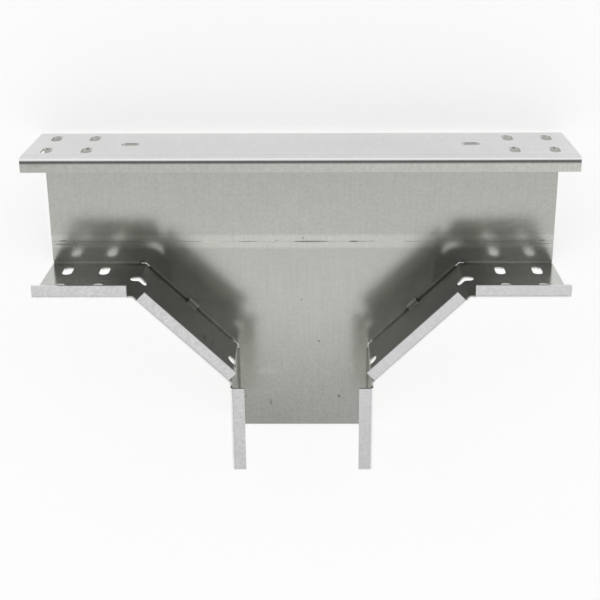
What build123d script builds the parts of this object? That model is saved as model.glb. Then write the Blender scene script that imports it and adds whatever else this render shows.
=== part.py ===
from build123d import *
from math import cos, radians, tan
import os

os.makedirs("parts", exist_ok=True)

# A cable tray tee folded from galvanised sheet and welded from four pieces.
# X runs along the straight tray, the branch leaves towards -Y, and the open
# side faces +Z. The origin is where the two centre lines cross, on the
# surface that the tee stands on.

# Tray section
tray_width = 100.0  # outside, for the run and for the branch
side_height = 64.0  # from the surface below to the top of the rim
sheet = 1.25  # thickness of every piece
fold_inside = 1.5  # inside radius of every fold
rim_width = 10.0  # inward rim along the top of each wall
seat_width = 25.0  # inward foot of a corner rail, which lies under the floor

# Plan
corner_setback = 65.0  # reach of each 45 degree corner along run and branch
straight_length = 67.5  # wall between a corner and the tray end
notch_length = 3.0  # rim and foot stop this far short of each wall bend
turn = 45.0  # each wall bend turns the rail by this much

# Floor
seam_from_wall = 18.0  # outside of the front wall to the seam in the floor
seam_gap = 0.2  # between the two floor sheets
edge_clearance = 0.15  # floor edge to the foot fold of a rail, and to the wall at its bends

# Bolt slots, the same group at each of the six wall ends
slot_length = 13.0
slot_width = 7.0  # for M6 bolts
end_margin = 14.0  # tray end to the first column of slots
column_pitch = 26.5
row_pitch = 29.0

# Welds
seam_tack_count = 5
seam_tack_pitch = 40.0
seam_tack_length = 12.0
seam_tack_width = 4.0
seam_tack_height = 0.7
corner_tack_length = 9.0
corner_tack_leg = 2.6

# Worked out from the sizes above
fold_outside = fold_inside + sheet
half_width = tray_width / 2
corner = half_width + corner_setback
reach = corner + straight_length
floor_bottom = sheet
floor_top = floor_bottom + sheet
mid_height = side_height / 2
seam_y = seam_from_wall - half_width
floor_edge = fold_outside + edge_clearance
ear_edge = sheet + edge_clearance
ear_reach = notch_length - edge_clearance
bent_slot_length = slot_length * cos(radians(turn / 2))
up = Vector(0, 0, 1)

# Back sheet: floor strip, back wall and rim, folded from one blank
with BuildPart() as back_sheet:
    with BuildSketch(Plane.YZ.offset(-reach)):
        with BuildLine():
            FilletPolyline(
                (seam_y + seam_gap / 2, floor_bottom),
                (half_width, floor_bottom),
                (half_width, side_height),
                (half_width - rim_width, side_height),
                radius=fold_outside,
            )
            offset(amount=sheet, side=Side.LEFT)
        make_face()
    extrude(amount=2 * reach)
    for side in (-1, 1):
        # Local x runs inwards from the tray end, local y runs up the wall
        wall = Plane(origin=(side * reach, half_width, 0), x_dir=(-side, 0, 0), z_dir=(0, side, 0))
        with BuildSketch(wall):
            with Locations((end_margin + column_pitch / 2, mid_height)):
                with GridLocations(column_pitch, row_pitch, 2, 2):
                    SlotOverall(slot_length, slot_width, rotation=90)
            with Locations((straight_length, mid_height)):
                SlotOverall(slot_length, slot_width)
        extrude(amount=2 * sheet, both=True, mode=Mode.SUBTRACT)

# Branch floor: flat sheet from the seam to the branch end, with its weld tacks
with BuildPart() as branch_floor:
    # An ear closes the floor against the wall at each bend, where the foot is notched
    bend = Vector(corner, -half_width)
    past_bend = bend + Vector(-1, -1).normalized() * ear_reach
    inward = Vector(-1, 1).normalized()
    run_ear = [
        Vector(corner + ear_reach, floor_edge - half_width),
        Vector(corner + ear_reach, ear_edge - half_width),
        Vector(corner - ear_edge * tan(radians(turn / 2)), ear_edge - half_width),
        past_bend + inward * ear_edge,
        past_bend + inward * floor_edge,
    ]
    branch_ear = [Vector(-point.Y, -point.X) for point in reversed(run_ear)]
    with BuildSketch(Plane.XY.offset(floor_bottom)):
        with BuildLine():
            Polyline(
                (0, seam_y - seam_gap / 2),
                (reach, seam_y - seam_gap / 2),
                (reach, floor_edge - half_width),
                *run_ear,
                *branch_ear,
                (half_width - floor_edge, -reach),
                (0, -reach),
            )
            mirror(about=Plane.YZ)
        make_face()
    extrude(amount=sheet)
    # Tacks on the underside bridge the seam
    with BuildSketch(Plane.XY.offset(floor_bottom)):
        with Locations((0, seam_y)):
            with GridLocations(seam_tack_pitch, 0, seam_tack_count, 1):
                SlotOverall(seam_tack_length, seam_tack_width)
    extrude(amount=-seam_tack_height)
    tack_faces = branch_floor.faces().sort_by(Axis.Z)[:seam_tack_count]
    fillet(tack_faces.edges(), radius=seam_tack_height * 0.8)
    # One tack on the inside at the middle of each diagonal wall
    for side in (-1, 1):
        middle = (half_width + corner) / 2
        inward = Vector(-side, 1)
        with BuildSketch(Plane(origin=(side * middle, -middle), x_dir=inward, z_dir=inward.cross(up))):
            with BuildLine():
                wall_end = (sheet, floor_top + corner_tack_leg)
                floor_end = (sheet + corner_tack_leg, floor_top)
                Polyline(wall_end, (sheet, fold_outside), (floor_edge, floor_top), floor_end)
                RadiusArc(wall_end, floor_end, corner_tack_leg * 1.5)
            make_face()
        extrude(amount=corner_tack_length / 2, both=True)

# Left corner rail: one strip with rim and foot, bent twice round the corner
with BuildPart() as corner_rail_left:
    path = [
        Vector(-reach, -half_width),
        Vector(-corner, -half_width),
        Vector(-half_width, -corner),
        Vector(-half_width, -reach),
    ]
    with BuildSketch(Plane.XY.offset(fold_outside)):
        with BuildLine():
            FilletPolyline(*path, radius=fold_inside)
            offset(amount=sheet, side=Side.LEFT)
        make_face()
    extrude(amount=side_height - 2 * fold_outside)
    # Rim, wall and foot of each straight stretch, notched beside the bends
    for start, end in zip(path, path[1:]):
        along = (end - start).normalized()
        inward = along.rotate(Axis.Z, 90)
        first = start if start is path[0] else start + along * notch_length
        last = end if end is path[-1] else end - along * notch_length
        with BuildSketch(Plane(origin=first, x_dir=inward, z_dir=along)):
            with BuildLine():
                FilletPolyline(
                    (seat_width, 0),
                    (0, 0),
                    (0, side_height),
                    (rim_width, side_height),
                    radius=fold_outside,
                )
                offset(amount=sheet, side=Side.RIGHT)
            make_face()
        extrude(amount=(last - first).length)
    # Slot group at each open end
    for end, inner in ((path[0], path[1]), (path[-1], path[-2])):
        inwards = (inner - end).normalized()
        with BuildSketch(Plane(origin=end, x_dir=inwards, z_dir=inwards.cross(up))):
            with Locations((end_margin + column_pitch / 2, mid_height)):
                with GridLocations(column_pitch, row_pitch, 2, 2):
                    SlotOverall(slot_length, slot_width, rotation=90)
        extrude(amount=2 * sheet, both=True, mode=Mode.SUBTRACT)
    # One slot lies across each bend
    for before, bend, after in zip(path, path[1:], path[2:]):
        across = (bend - before).normalized() + (after - bend).normalized()
        with BuildSketch(Plane(origin=bend, x_dir=across, z_dir=across.cross(up))):
            with Locations((0, mid_height)):
                SlotOverall(bent_slot_length, slot_width)
        extrude(amount=fold_outside * 2, both=True, mode=Mode.SUBTRACT)

# Right corner rail: the same strip bent the other way
with BuildPart() as corner_rail_right:
    mirror(corner_rail_left.part, about=Plane.YZ)

back_sheet.part.label = "back_sheet"
branch_floor.part.label = "branch_floor"
corner_rail_left.part.label = "corner_rail_left"
corner_rail_right.part.label = "corner_rail_right"

export_step(back_sheet.part, "parts/back_sheet.step")
export_step(branch_floor.part, "parts/branch_floor.step")
export_step(corner_rail_left.part, "parts/corner_rail_left.step")
export_step(corner_rail_right.part, "parts/corner_rail_right.step")
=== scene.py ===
import bpy
from math import pi, radians, sin
from mathutils import Euler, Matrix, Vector


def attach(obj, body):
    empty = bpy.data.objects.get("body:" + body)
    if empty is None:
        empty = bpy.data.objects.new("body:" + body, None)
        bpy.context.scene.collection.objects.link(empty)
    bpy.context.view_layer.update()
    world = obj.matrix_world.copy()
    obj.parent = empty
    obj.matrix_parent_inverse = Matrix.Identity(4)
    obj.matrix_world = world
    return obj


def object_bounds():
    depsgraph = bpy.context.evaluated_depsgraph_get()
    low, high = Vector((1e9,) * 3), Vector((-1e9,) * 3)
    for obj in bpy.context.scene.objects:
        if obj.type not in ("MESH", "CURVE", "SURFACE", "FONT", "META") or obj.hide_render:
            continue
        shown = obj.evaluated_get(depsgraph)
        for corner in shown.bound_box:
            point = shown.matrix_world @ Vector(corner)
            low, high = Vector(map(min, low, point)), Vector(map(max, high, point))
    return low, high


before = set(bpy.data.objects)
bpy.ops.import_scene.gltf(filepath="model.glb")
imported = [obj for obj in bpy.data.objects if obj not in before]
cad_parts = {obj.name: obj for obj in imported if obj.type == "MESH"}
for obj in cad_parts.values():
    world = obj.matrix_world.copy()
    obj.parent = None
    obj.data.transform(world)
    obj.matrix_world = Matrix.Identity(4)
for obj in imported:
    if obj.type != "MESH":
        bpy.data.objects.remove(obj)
cadLow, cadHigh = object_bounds()

mm = 0.001
backWall = cadHigh.y / mm  # outer face; the tray is as wide on both sides of its middle
sheetThickness = 1.25
foldRadius = 2.75  # outside
rimTop = cadHigh.z / mm
floorTop = 2 * sheetThickness  # the floor lies on the feet of the corner rails
print("frame loaded:", ", ".join(sorted(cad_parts)))


# Shader and geometry maths

class Wire:
    # one output of a node tree, so that sums on it read as sums
    def __init__(self, tree, socket=None):
        self.tree = tree
        self.socket = socket

    def node(self, kind, settings=None, sockets=None, output=0):
        made = self.tree.nodes.new(kind)
        for name, value in (settings or {}).items():
            if name == "stops":
                fillRamp(made.color_ramp, value)
            else:
                setattr(made, name, value)
        for name, value in (sockets or {}).items():
            if isinstance(value, Wire):
                self.tree.links.new(value.socket, made.inputs[name])
            else:
                made.inputs[name].default_value = value
        return Wire(self.tree, made.outputs[output] if made.outputs else None)

    def math(self, operation, *values):
        return self.node("ShaderNodeMath", {"operation": operation}, dict(enumerate(values)))

    def __add__(self, other):
        return self.math("ADD", self, other)

    __radd__ = __add__

    def __sub__(self, other):
        return self.math("SUBTRACT", self, other)

    def __rsub__(self, other):
        return self.math("SUBTRACT", other, self)

    def __mul__(self, other):
        return self.math("MULTIPLY", self, other)

    __rmul__ = __mul__

    def __truediv__(self, other):
        return self.math("DIVIDE", self, other)

    def __abs__(self):
        return self.math("ABSOLUTE", self)

    def least(self, other):
        return self.math("MINIMUM", self, other)

    def most(self, other):
        return self.math("MAXIMUM", self, other)

    def fade(self, start, end, low=0.0, high=1.0):
        # low before start, high after end, soft between; start may be the larger
        return self.node("ShaderNodeMapRange", {"interpolation_type": "SMOOTHSTEP"}, {
            "Value": self, "From Min": start, "From Max": end, "To Min": low, "To Max": high})

    def mixed(self, first, second):
        # a colour between two colours, this wire being the share of the second
        return self.node("ShaderNodeMix", {"data_type": "RGBA"}, {0: self, 6: first, 7: second}, 2)


def fillRamp(ramp, stops):
    ramp.elements.remove(ramp.elements[1])
    ramp.elements[0].position = stops[0][0]
    for place, value in stops[1:]:
        ramp.elements.new(place)
    for element, (place, value) in zip(ramp.elements, stops):
        element.color = (value, value, value, 1)


def placesInMm(shader):
    # where a surface is on the tee: the place as a vector, and its x, y and z
    place = shader.node("ShaderNodeMapping", {"vector_type": "POINT"}, {
        "Vector": shader.node("ShaderNodeTexCoord", None, None, "Object"),
        "Scale": (1 / mm, 1 / mm, 1 / mm)})
    outputs = shader.node("ShaderNodeSeparateXYZ", None, {"Vector": place}).socket.node.outputs
    return place, [Wire(shader.tree, outputs[axis]) for axis in "XYZ"]


def newMaterial(name):
    material = bpy.data.materials.new(name)
    material.use_nodes = True
    material.node_tree.nodes.clear()
    return material, Wire(material.node_tree)


# Zinc coated sheet

# sizes, lengths, widths and heights in mm, tones as a share of the colour
zinc = {
    "apart": 173.0,  # mm between the places that two pieces take their pattern from
    "cloud": {"size": 45.0, "tone": 0.05, "roughness": 0.03},
    "streak": {"length": 70.0, "width": 0.9, "tone": 0.03, "roughness": 0.015},
    "cross": {"length": 40.0, "width": 1.6, "shift": 9.0, "tone": 0.06},  # fainter marks across the coil
    "mottle": {"size": 9.0, "tone": 0.07, "height": 0.012},
    "fleck": {"size": 2.4, "tone": 0.11},
    "spangle": {"size": 3.2, "tone": 0.025, "roughness": 0.02},
    "grain": {"size": 0.6, "tone": 0.04, "height": 0.002},
    "wave": {"size": 90.0, "height": 0.03},  # the sheet is not quite flat
    "speck": {"spacing": 19.0, "apart": 31.0, "radius": 0.4, "share": 0.22, "soft": 0.012, "tone": 0.45},
    "scratch": {"length": 55.0, "spacing": 7.0, "slant": (0.35, 0.12), "width": 0.022,
                "patch": 50.0, "shown": (0.05, 0.35), "tone": 0.05, "roughness": 0.01},
    "edge": {"scale": 0.4, "cloud": 0.3, "fine": 0.15},  # how uneven the edge of a wide stain is
    "ragged": {"scale": 0.9, "depth": 0.3},  # and the edge of a small mark
    "blot": (1.25, 0.6),  # where a mark ends and where it is full, in its half sizes
    "bare": {"colour": (0.30, 0.29, 0.27, 1), "roughness": 0.15},  # burnt or dirty metal, and the colour of the painted shade in the groove and the seam
}

# What folding, welding and storing did to the sheets, and the painted light and shade on them. A pair of
# numbers is where a change starts and
# where it ends: a distance in mm from the middle of the tee or from the outside of a rail, a height,
# or an angle round a fold.
wearAndPaintedLight = {
    "seam": {"middle": -31.9, "half": 5.0, "soft": 1.6, "ragged": 0.8,
             "tone": 1.2, "roughness": 0.02},  # sprayed zinc
    "joint": {"middle": -32.0, "half": 0.45, "soft": 0.2, "reach": (70.0, 50.0),
              "patch": 9.0, "filled": (0.0, 0.4, 0.3, 0.9), "tone": 0.5},  # dirt and a painted contact shadow in the seam, in patches
    "cutEdge": {"soft": 0.1, "below": (0.05, 0.2), "reach": (70.0, 85.0), "tone": 0.95},  # painted shade on the cut edges inside the seam
    "smoke": {"radius": 11.0, "height": (14.0, 2.0), "tone": 0.16},  # round each corner tack
    "tack": {"above": (0.02, 0.1), "tone": 0.95},  # the tack itself, which stands on the floor
    "dish": {"depth": 2.2, "width": 18.0, "reach": (95.0, 120.0)},  # floor drawn down along the run's rails
    "fold": {"turn": (2.15, 0.8), "height": (55.0, 60.0), "depth": 0.8, "face": (62.7, 63.4),
             "edge": (45.8, 46.8), "tone": 1.3},  # softens the fold of the back rim, and paints a highlight along it
    "twist": {"height": (62.0, 63.0)},  # of the back rim
    "underRim": {"inside": (2.0, 3.0), "height": (60.0, 61.0), "top": (63.2, 62.9), "reach": (136.0, 166.0),
                 "legs": (60.0, 50.0), "legShare": 0.2, "roughness": 0.5,
                 "tone": 0.55},  # hidden side of the rims: rougher, with painted shade towards the ends and the legs
    "bendShade": {"start": (-48.0, 35.0), "end": (92.0, 70.0), "inside": (0.4, 0.8),
                "tone": 0.26},  # painted shade on the inside of the walls round the outer bends
    "endShade": {"reach": (164.0, 181.0)},  # painted shade on the rails towards the ends of the run
    "ends": {"reach": (122.0, 165.0), "depth": (10.0, -30.0),
             "roughness": 0.02, "film": 0.12},  # hazier towards the ends of the run
    "grooveShade": {"inside": (1.2, 1.4), "bottom": (1.0, 1.2), "top": (2.9, 2.5), "runEnd": (118.0, 116.0),
               "legEnd": (56.0, 58.0), "tone": 0.05},  # painted shade in the groove beside the floor
    "grooveLightFilm": {"bend": (117.0, 119.0), "legs": (54.0, 52.0), "above": 0.6,
                "run": 0.8, "diagonal": 0.25, "branch": 0.6},  # pale film beside the floor that paints light into the groove
}

# heights, and distances from the middle, where one face of the sheets gives way to the next
limits = {
    "floor": (5.0, 4.0),
    "wallTop": (62.5, 61.0),
    "underTop": (62.0, 60.0),
    "rim": (62.8, 63.6),
    "outside": (backWall - 1.0, backWall - 0.4),
}

# What sets the pieces apart. Blots are (x, y, half length, half width, darkness), and on the rails
# (place along the rail, height, half length, half height, darkness). Calm is the share of the mottle
# and of the flecks that the outside lacks.
coil = {
    "back_sheet": {
        "tint": (0.742, 0.738, 0.697),
        "roughness": 0.215,
        # painted shade: a darker white for the outside of the back wall
        "outside": (0.664, 0.664, 0.664),
        "calm": (0.5, 0.5),
        # painted light: the top of the back rim is lighter
        "rimPaintedLight": 1.15,
        "seed": 1.0,
        "twist": 0.00014,  # slope of the rim gained for each mm along the run
        "blots": [
            (7.0, -31.9, 14.0, 0.5, 0.7),
            (37.5, -31.9, 3.5, 0.5, 0.7),
            (0.5, -29.4, 0.9, 0.7, 0.5),
            (50.5, -32.0, 3.0, 0.7, 0.4),
            (-172.0, 46.0, 7.0, 2.5, 0.16),
            (174.0, -31.2, 3.2, 0.6, 0.45),
            (-174.0, -31.2, 3.2, 0.6, 0.5),
            (-18.6, -31.0, 1.4, 0.5, 0.35),
        ],
    },
    "branch_floor": {
        "tint": (0.742, 0.738, 0.697),
        "roughness": 0.215,
        "seed": 2.0,
        "fleck": 0.65,
        "blots": [
            (7.0, -32.1, 14.0, 0.5, 0.7),
            (37.5, -32.1, 3.5, 0.5, 0.7),
            (174.5, -34.0, 6.0, 0.6, 0.45),
            (-174.5, -34.0, 6.2, 0.7, 0.6),
            (-165.8, -33.6, 1.5, 1.2, 0.55),
            (166.5, -33.5, 1.3, 1.1, 0.5),
            (27.2, -158.4, 1.3, 1.2, 0.8),
            (-24.9, -163.5, 1.1, 2.8, 0.6),
            (12.0, -112.0, 0.9, 0.9, 0.7),
            (-44.0, -158.5, 0.9, 0.9, 0.6),
            (-1.0, -78.0, 0.8, 0.8, 0.5),
            (117.2, -47.4, 3.0, 1.1, 0.75),
            (-117.2, -47.4, 3.0, 1.1, 0.75),
            (-34.0, -182.0, 30.0, 22.0, 0.1),
        ],
        "wiped": {"centre": (-25.2, -137.0), "half": (11.0, 2.6), "ragged": 2.0,
                  "tone": 0.07},  # a lighter smear
        "branchShade": {"reach": (-65.0, -180.0), "tone": 0.31},  # painted shade towards the branch end, where the walls shade the floor
    },
    "corner_rail_left": {
        "tint": (0.785, 0.805, 0.757),
        "roughness": 0.165,
        # painted light: a lighter white for the rim tops
        "outside": (0.90, 0.90, 0.90),
        "calm": (0.4, 0.05),
        # share of painted shade towards the ends of the run
        "endShade": 0.3,
        "seed": 3.0,
        "soiled": 1.5,
        "blots": [
            (-23.4, 34.6, 2.2, 4.0, 0.6),
            (-34.3, 31.5, 1.6, 5.0, 0.4),
            (65.7, 2.0, 5.5, 1.6, 0.85),
            (-65.7, 2.0, 5.5, 1.6, 0.85),
        ],
        "smudge": {"size": 4.5, "stretch": 2.2, "shown": (0.0, 0.45), "reach": (-112.0, -135.0),
                   "foot": (14.0, 30.0), "top": (62.0, 58.0), "tone": 0.38},
    },
    "corner_rail_right": {
        "tint": (0.785, 0.805, 0.757),
        "roughness": 0.165,
        # painted light: a lighter white for the rim tops
        "outside": (0.90, 0.90, 0.91),
        "calm": (0.5, 0.15),
        # share of painted shade towards the ends of the run
        "endShade": 0.26,
        "seed": 4.0,
        "blots": [
            (65.7, 2.0, 5.5, 1.6, 0.85),
            (-65.7, 2.0, 5.5, 1.6, 0.85),
        ],
    },
}
cornerWeld = (82.5, -82.5)  # middle of each diagonal wall, either side of the branch


def insideWalls(x, y):
    # how far a place is from the outside of the nearest corner rail
    side = abs(x)
    diagonal = (cornerWeld[0] - cornerWeld[1] - side + y) * sin(radians(45))
    return (y + backWall).most(diagonal).most(backWall - side)


def unfolded(name, x, y, z):
    # places on the sheet as if it lay flat: along its folds, and across them
    if name == "back_sheet":
        return x, y + z
    if name == "branch_floor":
        return x, y
    return abs(x) + y, z + insideWalls(x, y)


def spread(shader, first, second, third=0.0):
    return shader.node("ShaderNodeCombineXYZ", None, {"X": first, "Y": second, "Z": third})


def noise(shader, vector, scale=1.0, detail=2.0, fine=0.55):
    # between about -1 and 1; a larger fine keeps more of the small detail
    value = shader.node("ShaderNodeTexNoise", None, {
        "Vector": vector, "Scale": scale, "Detail": detail, "Roughness": fine})
    return (value - 0.5) * 2.0


def blot(shader, x, y, centre, half, edge):
    # 1 inside an ellipse that fades to 0 at its rough edge
    away = shader.node("ShaderNodeVectorMath", {"operation": "LENGTH"}, {
        0: spread(shader, (x - centre[0]) / half[0], (y - centre[1]) / half[1])}, "Value")
    return (away + edge).fade(*zinc["blot"])


def specks(shader, along, across, seed):
    # small dark specks, one in some of the cells of a flat pattern
    speck = zinc["speck"]
    cells = shader.node("ShaderNodeTexVoronoi", {"voronoi_dimensions": "2D"}, {
        "Vector": spread(shader, along + seed * speck["apart"], across), "Scale": 1 / speck["spacing"]})
    cellColour = Wire(shader.tree, cells.socket.node.outputs["Color"])
    picked = shader.node("ShaderNodeSeparateColor", None, {"Color": cellColour})
    radius = picked.fade(0.0, speck["share"], speck["radius"], 0.0) / speck["spacing"]
    return (cells - radius).fade(speck["soft"], -speck["soft"]) * speck["tone"]


def scratches(shader, place, along, across, seed):
    # hairlines that come and go
    scratch = zinc["scratch"]
    lengthwise = (along + across * scratch["slant"][0]) / scratch["length"]
    sideways = (across - along * scratch["slant"][1]) / scratch["spacing"]
    level = abs(noise(shader, spread(shader, lengthwise, sideways, seed), detail=1.0))
    patches = noise(shader, place, 1 / scratch["patch"], detail=1.0).fade(*scratch["shown"])
    return level.fade(scratch["width"], 0.0) * patches


def dressedRail(piece, x, y, z, along, tone, rough, dirtAndShade):
    # what only corner rails have: rough hidden rims, painted shade under the rims, round the outer bends,
    # towards the ends of the run and in the groove beside the floor, and a pale film there that paints
    # light
    side = abs(x)
    inside = insideWalls(x, y)
    belowRim = z.fade(*limits["wallTop"])
    under = wearAndPaintedLight["underRim"]
    hidden = inside.fade(*under["inside"]) * z.fade(*under["height"]) * z.fade(*under["top"])
    shadedEnds = side.fade(*under["reach"]).most(side.fade(*under["legs"]) * under["legShare"])
    rough = rough.most(hidden * under["roughness"])
    # painted shade on the hidden side of the rims towards the ends and the legs
    tone = tone * (1.0 - hidden * shadedEnds * under["tone"])
    # painted shade on the inner faces of the walls round the outer bends
    bendShade = wearAndPaintedLight["bendShade"]
    shadedBend = along.fade(*bendShade["start"]) * along.fade(*bendShade["end"]) * inside.fade(*bendShade["inside"])
    tone = tone * (1.0 - shadedBend * belowRim * bendShade["tone"])
    # painted shade on the walls towards the ends of the run
    tone = tone * side.fade(*wearAndPaintedLight["endShade"]["reach"], 1.0, 1.0 - belowRim * piece["endShade"])
    # painted shade in the groove beside the floor
    grooveShade = wearAndPaintedLight["grooveShade"]
    darkLine = inside.fade(*grooveShade["inside"]) * z.fade(*grooveShade["bottom"]) * z.fade(*grooveShade["top"])
    darkLine = darkLine * side.fade(*grooveShade["runEnd"]) * side.fade(*grooveShade["legEnd"])
    dirtAndShade = dirtAndShade.most(darkLine * grooveShade["tone"])
    # a pale diffuse film beside the floor, painted light in the groove
    grooveLightFilm = wearAndPaintedLight["grooveLightFilm"]
    film = side.fade(*grooveLightFilm["bend"], grooveLightFilm["diagonal"], grooveLightFilm["run"])
    film = film.most(side.fade(*grooveLightFilm["legs"]) * grooveLightFilm["branch"])
    return tone, rough, dirtAndShade, z.fade(floorTop + grooveLightFilm["above"], floorTop) * film


def zincSheet(name):
    piece = coil[name]
    seed = piece["seed"]
    onRail = name.startswith("corner_rail")
    material, shader = newMaterial("zinc_" + name)
    place, (x, y, z) = placesInMm(shader)
    side = abs(x)
    along, across = unfolded(name, x, y, z)
    onFloor = z.fade(*limits["floor"])
    underTop = z.fade(*limits["underTop"])

    # outer faces and rims have calmer marks than the inside, and another white: painted light on the rims
    # of the rails, painted shade on the outside of the back wall
    outer = None
    if name == "back_sheet":
        outer = y.fade(*limits["outside"])
    if onRail:
        outer = z.fade(*limits["rim"])

    # rolled and dipped finish
    coilPlace = shader.node("ShaderNodeVectorMath", {"operation": "ADD"}, {
        0: place, 1: (seed * zinc["apart"], 0.0, 0.0)})
    cloud = noise(shader, coilPlace, 1 / zinc["cloud"]["size"], detail=4.0)
    soiled = piece.get("soiled", 1.0)
    mottle = noise(shader, coilPlace, 1 / zinc["mottle"]["size"], detail=4.0, fine=0.8) * soiled
    fleck = noise(shader, coilPlace, 1 / zinc["fleck"]["size"]) * (soiled * piece.get("fleck", 1.0))
    rolled = zinc["streak"]
    streak = noise(shader, spread(shader, along / rolled["length"], across / rolled["width"], seed))
    crossed = zinc["cross"]
    crossPlace = spread(
        shader, along / crossed["width"], across / crossed["length"], seed + crossed["shift"])
    cross = noise(shader, crossPlace)
    if outer:
        mottle = mottle * (1.0 - outer * piece["calm"][0])
        fleck = fleck * (1.0 - outer * piece["calm"][1])
        cross = cross * (1.0 - outer * piece["calm"][1])
    grain = noise(shader, place, 1 / zinc["grain"]["size"], detail=1.0)
    wave = noise(shader, coilPlace, 1 / zinc["wave"]["size"], detail=0.0)
    cell = shader.node("ShaderNodeTexVoronoi", None, {
        "Vector": place, "Scale": 1 / zinc["spangle"]["size"]}, "Color")
    spangle = shader.node("ShaderNodeSeparateColor", None, {"Color": cell}) - 0.5
    tone = (1.0 + cloud * zinc["cloud"]["tone"] + mottle * zinc["mottle"]["tone"]
            + streak * zinc["streak"]["tone"] + cross * zinc["cross"]["tone"]
            + fleck * zinc["fleck"]["tone"] + spangle * zinc["spangle"]["tone"]
            + grain * zinc["grain"]["tone"])
    rough = (piece["roughness"] + cloud * zinc["cloud"]["roughness"] + streak * zinc["streak"]["roughness"]
             + spangle * zinc["spangle"]["roughness"])
    height = (grain * zinc["grain"]["height"] + mottle * zinc["mottle"]["height"]
              + wave * zinc["wave"]["height"])

    # small dents that the folds and the welds left
    if not onRail:
        dish = wearAndPaintedLight["dish"]
        drawn = shader.math("EXPONENT", (y + backWall - sheetThickness) / -dish["width"])
        height = height - drawn * side.fade(*dish["reach"]) * onFloor * dish["depth"]
    if name == "back_sheet":
        fold = wearAndPaintedLight["fold"]
        turned = shader.math("ARCTAN2", z - (rimTop - foldRadius), y - (backWall - foldRadius))
        height = height - turned.fade(*fold["turn"]) * z.fade(*fold["height"]) * fold["depth"]
        height = height + x * (y - backWall) * z.fade(*wearAndPaintedLight["twist"]["height"]) * piece["twist"]
        # painted light on the back rim: its top lighter, and a painted highlight along the fold
        tone = tone * z.fade(*fold["face"], 1.0, piece["rimPaintedLight"])
        tone = tone * (1.0 + z.fade(*fold["face"]) * y.fade(*fold["edge"]) * (fold["tone"] - 1.0))

    # weld smoke on the floor and walls round each corner tack, and specks
    uneven = zinc["edge"]
    edge = cloud * uneven["cloud"] + noise(shader, place, uneven["scale"]) * uneven["fine"]
    smoke = wearAndPaintedLight["smoke"]
    smoked = blot(shader, side, y, cornerWeld, (smoke["radius"],) * 2, edge) * z.fade(*smoke["height"])
    dirtAndShade = specks(shader, along, across, seed) + smoked * smoke["tone"]

    ends = wearAndPaintedLight["ends"]
    haze = side.fade(*ends["reach"]) * underTop
    metal = 1.0 - haze * y.fade(*ends["depth"]) * ends["film"]
    # the rails get painted shade under the rims, round the bends, at the run's ends and in the groove, and
    # a pale film that paints light beside the floor
    if onRail:
        tone, rough, dirtAndShade, film = dressedRail(piece, x, y, z, along, tone, rough, dirtAndShade)
        metal = metal.least(1.0 - film)
    rough = rough + haze * ends["roughness"]
    line = scratches(shader, place, along, across, seed)
    tone = tone + line * zinc["scratch"]["tone"]
    rough = rough + line * zinc["scratch"]["roughness"]

    # named marks of each piece
    ragged = noise(shader, place, zinc["ragged"]["scale"]) * zinc["ragged"]["depth"]
    markPlane = (along, z) if onRail else (x, y)
    for first, second, halfFirst, halfSecond, dark in piece["blots"]:
        mark = blot(shader, *markPlane, (first, second), (halfFirst, halfSecond), ragged)
        dirtAndShade = dirtAndShade.most(mark * dark)
    if name == "branch_floor":
        tack = wearAndPaintedLight["tack"]
        dirtAndShade = dirtAndShade.most(z.fade(floorTop + tack["above"][0], floorTop + tack["above"][1]) * tack["tone"])
    if "smudge" in piece:
        smudge = piece["smudge"]
        stretched = spread(shader, along / smudge["stretch"], across, seed)
        rubbed = noise(shader, stretched, 1 / smudge["size"], detail=3.0).fade(*smudge["shown"])
        rubbed = rubbed * x.fade(*smudge["reach"]) * z.fade(*smudge["foot"]) * z.fade(*smudge["top"])
        dirtAndShade = dirtAndShade.most(rubbed * smudge["tone"])
    if "wiped" in piece:
        wiped = piece["wiped"]
        smear = blot(shader, x, y, wiped["centre"], wiped["half"], edge * wiped["ragged"])
        tone = tone + smear * wiped["tone"]
    # painted shade towards the branch end, where the walls shade the floor
    if "branchShade" in piece:
        shadedBranch = y.fade(*piece["branchShade"]["reach"])
        tone = tone * (1.0 - shadedBranch * piece["branchShade"]["tone"]) + shadedBranch * fleck * zinc["fleck"]["tone"]

    # sprayed zinc along the seam in the floor, dirt and a painted contact shadow in it, and painted shade
    # on the cut edges inside it
    if not onRail:
        seam = wearAndPaintedLight["seam"]
        away = abs(y - seam["middle"]) + edge * seam["ragged"]
        spray = away.fade(seam["half"] + seam["soft"], seam["half"] - seam["soft"]) * onFloor
        tone = tone * (1.0 + spray * (seam["tone"] - 1.0))
        rough = rough + spray * seam["roughness"]
        # dirt and a painted contact shadow along the seam, in patches
        joint = wearAndPaintedLight["joint"]
        away = abs(y - joint["middle"])
        darkLine = away.fade(joint["half"] + joint["soft"], joint["half"] - joint["soft"]) * onFloor
        darkLine = darkLine * noise(shader, spread(shader, x / joint["patch"], seed)).fade(*joint["filled"])
        dirtAndShade = dirtAndShade.most(darkLine * side.fade(*joint["reach"]) * joint["tone"])
        # painted shade on the cut edges inside the seam gap
        cut = wearAndPaintedLight["cutEdge"]
        gap = away.fade(joint["half"] + cut["soft"], joint["half"])
        gap = gap * z.fade(floorTop - cut["below"][0], floorTop - cut["below"][1])
        dirtAndShade = dirtAndShade.most(gap * side.fade(*cut["reach"]) * cut["tone"])

    tint = piece["tint"]
    # the other white of the outer faces and rims is painted light and shade
    if outer:
        tint = outer.mixed((*tint, 1), (*piece["outside"], 1))
    colour = shader.node("ShaderNodeVectorMath", {"operation": "SCALE"}, {0: tint, "Scale": tone})
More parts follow.
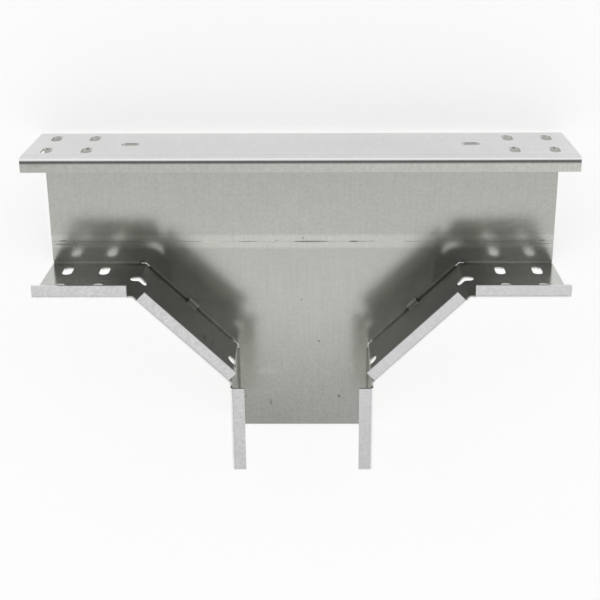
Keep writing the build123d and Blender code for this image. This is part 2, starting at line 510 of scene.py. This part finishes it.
    # dirt and the painted shade of the groove, the seam and its cut edges, both in the bare colour
    colour = dirtAndShade.mixed(colour, zinc["bare"]["colour"])
    bump = shader.node("ShaderNodeBump", None, {"Distance": mm, "Height": height})
    surface = shader.node("ShaderNodeBsdfPrincipled", None, {
        "Base Color": colour, "Metallic": metal, "Roughness": rough + dirtAndShade * zinc["bare"]["roughness"],
        "Normal": bump})
    shader.node("ShaderNodeOutputMaterial", None, {"Surface": surface})
    return material


for name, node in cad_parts.items():
    node.data.materials.clear()
    node.data.materials.append(zincSheet(name))
print("sheets finished:", len(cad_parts))


# Weld beads and spatter

# lengths in mm; a bead's size is its half length, half width and half height
weld = {
    "metal": (0.30, 0.30, 0.28),
    "mottle": {"scale": 0.9, "tone": 0.12, "height": 0.05, "roughness": 0.06},
    "roughness": 0.42,
    "uneven": 0.12,
    "corner": {"length": 5.6, "lift": 0.95, "sunk": 0.2,
               "bead": (0.8, 1.15, 1.15), "beads": 7, "seed": 3},
    "seam": {"count": 5, "pitch": 40.0, "length": 9.6, "level": 1.15,
             "bead": (1.25, 2.0, 0.8), "beads": 9, "seed": 5},
    # density in drops for each square mm; clear is a share of the reach, and smallest of the size
    "spatter": {"reach": 17.0, "clear": 0.3, "density": 0.022, "size": 0.42, "smallest": 0.3,
                "flat": 0.6, "faces": 80, "seed": 7},
}


def weldMetal():
    material, shader = newMaterial("weldMetal")
    place = placesInMm(shader)[0]
    uneven = weld["mottle"]
    mottle = noise(shader, place, uneven["scale"], detail=3.0)
    colour = shader.node("ShaderNodeVectorMath", {"operation": "SCALE"}, {
        0: weld["metal"], "Scale": 1.0 + mottle * uneven["tone"]})
    bump = shader.node("ShaderNodeBump", None, {"Distance": mm, "Height": mottle * uneven["height"]})
    surface = shader.node("ShaderNodeBsdfPrincipled", None, {
        "Base Color": colour, "Metallic": 1.0, "Normal": bump,
        "Roughness": weld["roughness"] + mottle * uneven["roughness"]})
    shader.node("ShaderNodeOutputMaterial", None, {"Surface": surface})
    return material


def newGrowth(name, sizes):
    # a geometry tree with a named input for each size, and wires from its inputs
    tree = bpy.data.node_groups.new(name, "GeometryNodeTree")
    tree.interface.new_socket("Geometry", in_out="INPUT", socket_type="NodeSocketGeometry")
    for label, kind in sizes.items():
        tree.interface.new_socket(label, in_out="INPUT", socket_type="NodeSocket" + kind)
    tree.interface.new_socket("Geometry", in_out="OUTPUT", socket_type="NodeSocketGeometry")
    start = tree.nodes.new("NodeGroupInput")
    return Wire(tree), {output.name: Wire(tree, output) for output in start.outputs if output.name}


def endGrowth(grow, geometry, metal):
    real = grow.node("GeometryNodeRealizeInstances", None, {0: geometry})
    dressed = grow.node("GeometryNodeSetMaterial", None, {"Geometry": real, "Material": metal})
    grow.node("NodeGroupOutput", None, {"Geometry": dressed})
    return grow.tree


def beadRow():
    # overlapping drops of weld metal along every edge of the carrier
    grow, given = newGrowth("beadRow", {
        "Beads": "Int", "Bead Size": "Vector", "Uneven": "Float", "Seed": "Int", "Metal": "Material"})
    line = grow.node("GeometryNodeMeshToCurve", None, {"Mesh": given["Geometry"]})
    points = grow.node("GeometryNodeResampleCurve", None, {"Curve": line, "Count": given["Beads"]})
    drop = grow.node("GeometryNodeMeshIcoSphere", None, {"Radius": 1.0, "Subdivisions": 3})
    turn = grow.node("FunctionNodeAlignRotationToVector", {"axis": "X"}, {
        "Vector": grow.node("GeometryNodeInputTangent")})
    share = grow.node("FunctionNodeRandomValue", {"data_type": "FLOAT"}, {
        2: 1.0 - given["Uneven"], 3: 1.0 + given["Uneven"], "Seed": given["Seed"]}, 1)
    scale = grow.node("ShaderNodeVectorMath", {"operation": "SCALE"}, {
        0: given["Bead Size"], "Scale": share})
    drops = grow.node("GeometryNodeInstanceOnPoints", None, {
        "Points": points, "Instance": drop, "Rotation": turn, "Scale": scale})
    return endGrowth(grow, drops, given["Metal"])


def spatterPatch():
    # flattened drops thrown over the faces of the carrier
    grow, given = newGrowth("spatterPatch", {
        "Density": "Float", "Drop Size": "Float", "Smallest": "Float", "Flat": "Float",
        "Seed": "Int", "Metal": "Material"})
    places = grow.node("GeometryNodeDistributePointsOnFaces", None, {
        "Mesh": given["Geometry"], "Density": given["Density"], "Seed": given["Seed"]})
    drop = grow.node("GeometryNodeMeshIcoSphere", None, {"Radius": 1.0, "Subdivisions": 2})
    share = grow.node("FunctionNodeRandomValue", {"data_type": "FLOAT"}, {
        2: given["Smallest"], 3: 1.0, "Seed": given["Seed"]}, 1)
    radius = share * given["Drop Size"]
    drops = grow.node("GeometryNodeInstanceOnPoints", None, {
        "Points": places, "Instance": drop, "Scale": spread(grow, radius, radius, radius * given["Flat"])})
    return endGrowth(grow, drops, given["Metal"])


def grown(name, tree, carrier, values):
    # runs a tree on a carrier mesh and keeps the result as a plain piece in metres
    holder = bpy.data.objects.new(name, carrier)
    bpy.context.scene.collection.objects.link(holder)
    modifier = holder.modifiers.new("grow", "NODES")
    modifier.node_group = tree
    for item in tree.interface.items_tree:
        if item.in_out == "INPUT" and item.name in values:
            modifier[item.identifier] = values[item.name]
    finished = holder.evaluated_get(bpy.context.evaluated_depsgraph_get())
    mesh = bpy.data.meshes.new_from_object(finished)
    holder.modifiers.remove(modifier)
    holder.data = mesh
    for face in mesh.polygons:
        face.use_smooth = True
    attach(holder, "root")
    return holder


def carrierOf(name, corners, edges=(), faces=()):
    mesh = bpy.data.meshes.new(name)
    mesh.from_pydata([Vector(corner) * mm for corner in corners], edges, faces)
    return mesh


def cornerAxes(side):
    # middle of the foot of a diagonal wall, the way into the tray, and the way along the wall
    middle = Vector((side * cornerWeld[0], cornerWeld[1], floorTop))
    return middle, Vector((-side, 1, 0)).normalized(), Vector((-side, -1, 0)).normalized()


def cornerLines():
    corner = weld["corner"]
    ends = []
    for side in (-1, 1):
        middle, inward, alongWall = cornerAxes(side)
        foot = middle + inward * (sheetThickness + corner["lift"])
        foot += Vector((0, 0, corner["lift"] - corner["sunk"]))
        ends += [foot - alongWall * corner["length"] / 2, foot + alongWall * corner["length"] / 2]
    return carrierOf("cornerLines", ends, [(0, 1), (2, 3)])


def seamLines():
    tacks = weld["seam"]
    ends = []
    lines = []
    for number in range(tacks["count"]):
        middle = (number - (tacks["count"] - 1) / 2) * tacks["pitch"]
        lines.append((len(ends), len(ends) + 1))
        for end in (-1, 1):
            ends.append((middle + end * tacks["length"] / 2, wearAndPaintedLight["seam"]["middle"], tacks["level"]))
    return carrierOf("seamLines", ends, lines)


def spatterFloor():
    # a patch of floor in front of each diagonal wall
    drops = weld["spatter"]
    corners = []
    for side in (-1, 1):
        middle, inward, alongWall = cornerAxes(side)
        reach = alongWall * drops["reach"]
        near = middle + inward * drops["reach"] * drops["clear"]
        far = near + inward * drops["reach"]
        ring = [near - reach, near + reach, far + reach, far - reach]
        corners += ring if side > 0 else ring[::-1]
    return carrierOf("spatterFloor", corners, (), [(0, 1, 2, 3), (4, 5, 6, 7)])


weldMaterial = weldMetal()
beads = beadRow()
for name, carrier, row in (
        ("corner_weld_beads", cornerLines(), weld["corner"]),
        ("seam_weld_beads", seamLines(), weld["seam"])):
    grown(name, beads, carrier, {
        "Beads": row["beads"], "Bead Size": Vector(row["bead"]) * mm, "Uneven": weld["uneven"],
        "Seed": row["seed"], "Metal": weldMaterial})
spatter = grown("weld_spatter", spatterPatch(), spatterFloor(), {
    "Density": weld["spatter"]["density"] / mm**2, "Drop Size": weld["spatter"]["size"] * mm,
    "Smallest": weld["spatter"]["smallest"], "Flat": weld["spatter"]["flat"],
    "Seed": weld["spatter"]["seed"], "Metal": weldMaterial})
print("weld beads and spatter made, drops:", len(spatter.data.polygons) // weld["spatter"]["faces"])


# Pale ground

ground = {
    "size": 12.0,  # metres across
    "drop": 0.05 * mm,  # below the faces that the tee rests on
    "colour": (0.8, 0.8, 0.8, 1),
    "white": 0.62,  # lifts the ground to white for the camera
    "mirrored": 0.68,  # and in the metal
}


def layGround():
    half = ground["size"] / 2
    corners = [(-half, -half), (half, -half), (half, half), (-half, half)]
    mesh = bpy.data.meshes.new("ground")
    mesh.from_pydata([(x, y, -ground["drop"]) for x, y in corners], [], [(0, 1, 2, 3)])
    plane = bpy.data.objects.new("ground", mesh)
    bpy.context.scene.collection.objects.link(plane)
    material, shader = newMaterial("paleGround")
    rays = shader.node("ShaderNodeLightPath").socket.node.outputs
    seen, glossy, through = [
        Wire(shader.tree, rays[kind]) for kind in ("Is Camera Ray", "Is Glossy Ray", "Is Transmission Ray")]
    strength = (seen * ground["white"]).most((glossy + through) * ground["mirrored"])
    glow = shader.node("ShaderNodeEmission", None, {"Strength": strength})
    diffuse = shader.node("ShaderNodeBsdfDiffuse", None, {"Color": ground["colour"]})
    both = shader.node("ShaderNodeAddShader", None, {0: diffuse, 1: glow})
    shader.node("ShaderNodeOutputMaterial", None, {"Surface": both})
    mesh.materials.append(material)


layGround()
print("ground laid")


# Camera and light

camera = {
    "place": (13.51, 243.93, 713.30),  # mm
    "turn": (-17.588, 0.388, -0.243),  # degrees
    "lens": 62.79,
    "sensor": 36.0,
    "shift": (-0.0210, -0.2083),
    "nearest": 0.01,  # metres
}

studio = {
    # light of the sky by its tilt in degrees from overhead towards the branch, where a long soft box lies
    "sky": [
        (-90, 0.95),
        (-55, 0.9),
        (-42, 0.16),
        (-30, 0.13),
        (-12, 0.1),
        (2, 0.3),
        (11, 0.55),
        (18, 0.76),
        (25, 0.9),
        (30, 0.84),
        (34, 0.7),
        (90, 0.65),
    ],
    "walls": 1.06,  # white walls low down, all round
    "wallTop": (0.5, 0.36),  # sine of the height where the sky ends and where the walls are full
}


def setCamera():
    data = bpy.data.cameras.new("camera")
    data.lens = camera["lens"]
    data.sensor_width = camera["sensor"]
    data.shift_x, data.shift_y = camera["shift"]
    data.clip_start = camera["nearest"]
    holder = bpy.data.objects.new("camera", data)
    holder.location = Vector(camera["place"]) * mm
    holder.rotation_euler = Euler([radians(angle) for angle in camera["turn"]])
    bpy.context.scene.collection.objects.link(holder)
    bpy.context.scene.camera = holder


def lightRoom():
    world = bpy.data.worlds.new("room")
    world.use_nodes = True
    world.node_tree.nodes.clear()
    bpy.context.scene.world = world
    room = Wire(world.node_tree)
    outward = room.node("ShaderNodeTexCoord", None, None, "Generated")
    axes = room.node("ShaderNodeSeparateXYZ", None, {"Vector": outward}).socket.node.outputs
    y, z = [Wire(room.tree, axes[axis]) for axis in "YZ"]
    tilt = room.math("ARCTAN2", y * -1.0, z) / pi + 0.5
    stops = [(angle / 180 + 0.5, level) for angle, level in studio["sky"]]
    sky = room.node("ShaderNodeValToRGB", {"stops": stops}, {"Fac": tilt})
    walls = z.fade(*studio["wallTop"])
    level = sky * (1.0 - walls) + walls * studio["walls"]
    seen = Wire(room.tree, room.node("ShaderNodeLightPath").socket.node.outputs["Is Camera Ray"])
    background = room.node("ShaderNodeBackground", None, {"Strength": level.most(seen)})
    room.node("ShaderNodeOutputWorld", None, {"Surface": background})


setCamera()
lightRoom()
bpy.context.scene.view_settings.view_transform = "Standard"
print("camera and light set")
